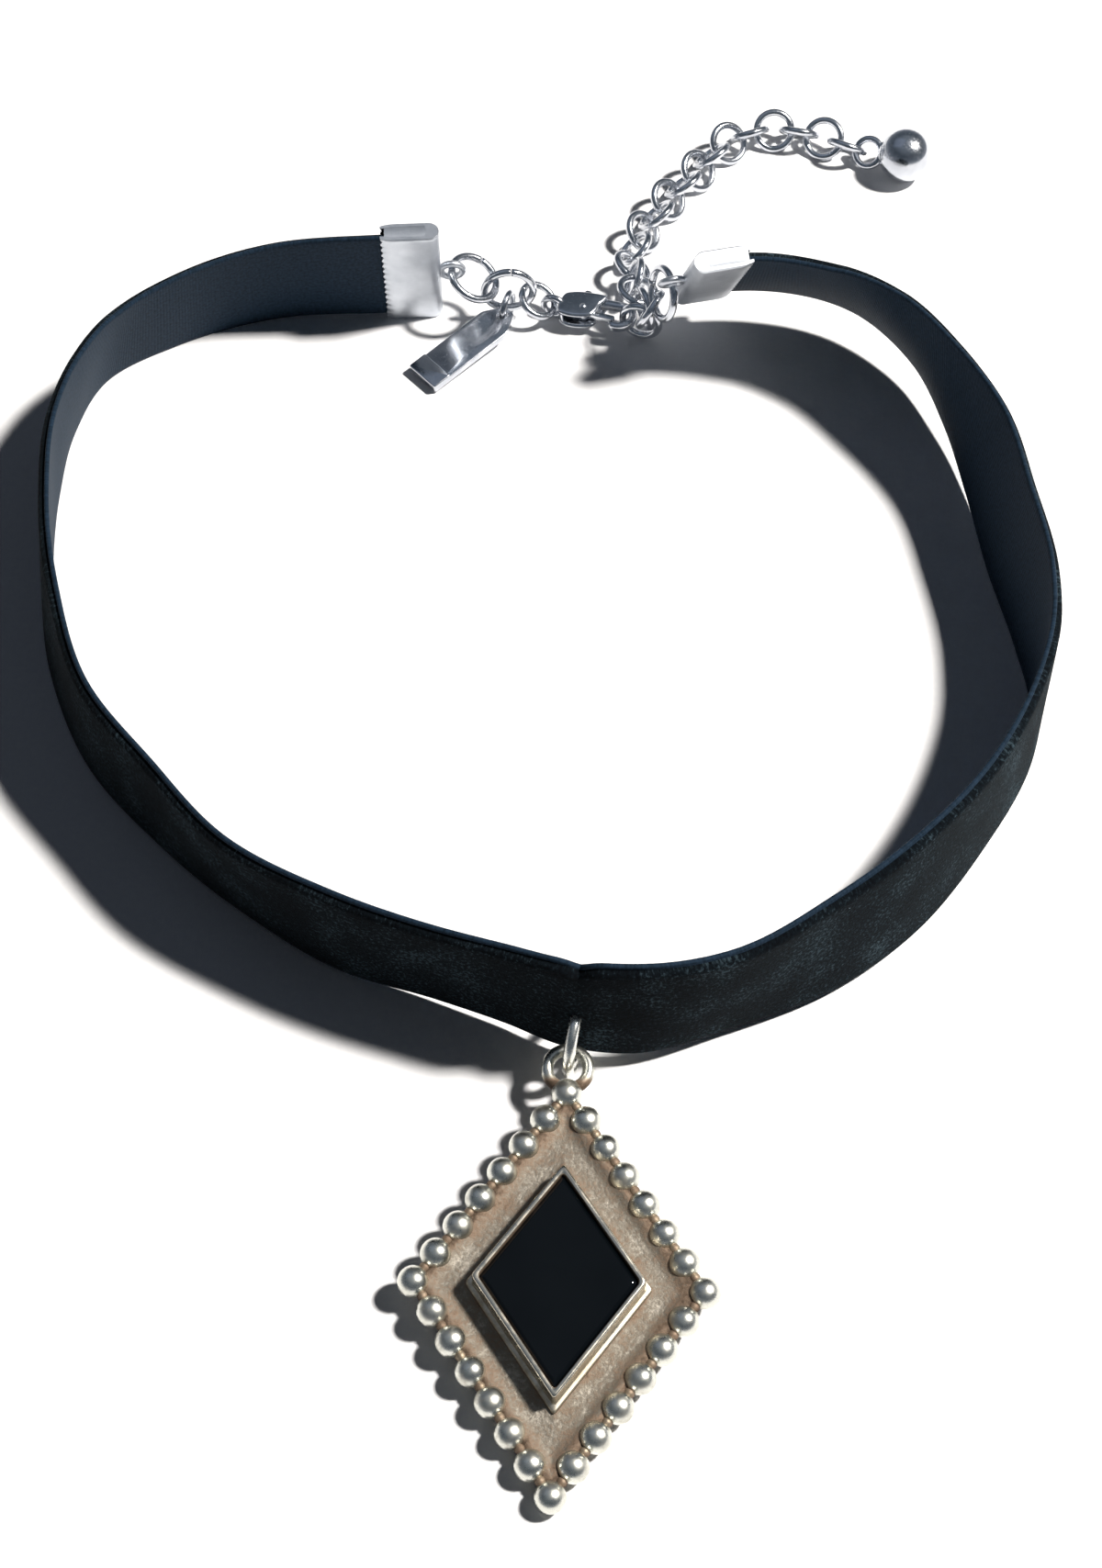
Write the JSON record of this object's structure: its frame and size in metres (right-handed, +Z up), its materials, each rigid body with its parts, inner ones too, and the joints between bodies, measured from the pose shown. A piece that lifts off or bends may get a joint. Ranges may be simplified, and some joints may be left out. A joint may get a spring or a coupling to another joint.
{
  "type": "choker necklace",
  "caption": "Velvet ribbon choker lying in a loop, with a beaded silver lozenge pendant and onyx stone, ribbon clamps, a lobster clasp and an extender chain with an end ball.",
  "frame": {"origin": "on the resting surface, under the middle of the whole part's box", "axes": "+Z up from the surface, +Y from the pendant towards the clasp, +X to the wearer's left as the pendant lies face up"},
  "size_m": [0.114, 0.1824, 0.0202],
  "materials": {
    "velvet": "black cut velvet with a woven selvedge",
    "nickel": "polished nickel plate",
    "antique_silver": "antique silver plate, polished beads and brown recesses",
    "onyx": "polished black onyx"
  },
  "bodies": {
    "necklace": {"velvet_ribbon": "velvet", "ribbon_clamp_left": "nickel", "ribbon_clamp_right": "nickel", "left_jump_ring": "nickel", "tag_ring": "nickel", "tag_link": "nickel", "bare_tag": "nickel", "clasp_ring": "nickel", "clasp_body": "nickel", "right_jump_ring": "nickel", "extender_link_01": "nickel", "extender_link_02": "nickel", "extender_link_03": "nickel", "extender_link_04": "nickel", "extender_link_05": "nickel", "extender_link_06": "nickel", "extender_link_07": "nickel", "extender_link_08": "nickel", "extender_link_09": "nickel", "extender_link_10": "nickel", "extender_link_11": "nickel", "extender_link_12": "nickel", "extender_link_13": "nickel", "extender_link_14": "nickel", "extender_link_15": "nickel", "extender_link_16": "nickel", "extender_link_17": "nickel", "extender_link_18": "nickel", "extender_link_19": "nickel", "end_ball": "nickel", "pendant_jump_ring": "antique_silver", "pendant_setting": "antique_silver", "pendant_stone": "onyx"},
    "lever": {"clasp_lever": "nickel"}
  },
  "joints": [
    {"name": "clasp_lever_hinge", "type": "hinge", "parent": "necklace", "child": "lever", "pos_m": [0.00619, 0.05629, 0.00224], "axis": [-0.0988, 0.034, 0.9945], "range_deg": [0, 16], "stiffness_Nm_per_rad": 0.02, "springref_deg": -5.73}
  ]
}
